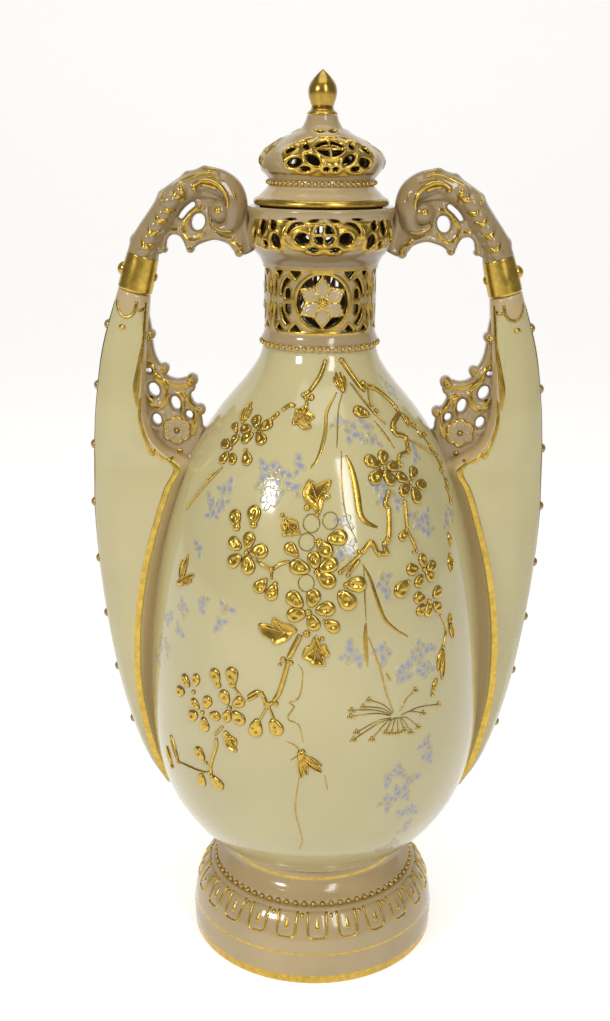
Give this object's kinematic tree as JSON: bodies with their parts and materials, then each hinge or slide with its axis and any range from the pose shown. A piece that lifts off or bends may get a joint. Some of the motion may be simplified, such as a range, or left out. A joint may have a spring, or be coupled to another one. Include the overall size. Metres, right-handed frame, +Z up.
{
  "type": "lidded vase",
  "caption": "Egg-shaped two-handled porcelain vase with a pierced neck and gallery, horn handles, a round foot and a lift-off pierced cover.",
  "frame": {"origin": "centre of the foot's underside, where the vase stands", "axes": "+Z up along the vase's axis, +X towards the right handle, -Y towards the decorated front"},
  "size_m": [0.1898, 0.142, 0.37],
  "materials": {
    "blush_glaze": "gloss",
    "ivory_glaze": "gloss",
    "gilding": "gloss"
  },
  "bodies": {
    "vase": {"foot_base": "blush_glaze", "foot_bead_row": "gilding", "foot_cove": "blush_glaze", "body": "ivory_glaze", "neck_bead_row": "gilding", "neck_collar": "blush_glaze", "mouth_gallery": "blush_glaze", "right_horn": "ivory_glaze", "right_gilt_band": "gilding", "right_scroll_arm": "blush_glaze", "right_arm_strapwork": "blush_glaze", "right_bracket": "blush_glaze", "right_rosette_back": "gilding", "right_rosette_front": "gilding", "left_horn": "ivory_glaze", "left_gilt_band": "gilding", "left_scroll_arm": "blush_glaze", "left_arm_strapwork": "blush_glaze", "left_bracket": "blush_glaze", "left_rosette_back": "gilding", "left_rosette_front": "gilding"},
    "cover": {"cover_rim": "gilding", "cover_skirt": "blush_glaze", "cover_bead_row": "gilding", "cover_dome": "blush_glaze", "finial_collar": "gilding", "finial_bud": "gilding"}
  },
  "joints": [
    {"name": "cover_lift", "type": "slide", "parent": "vase", "child": "cover", "axis": [0, 0, 1], "range_m": [0, 0.06]}
  ]
}
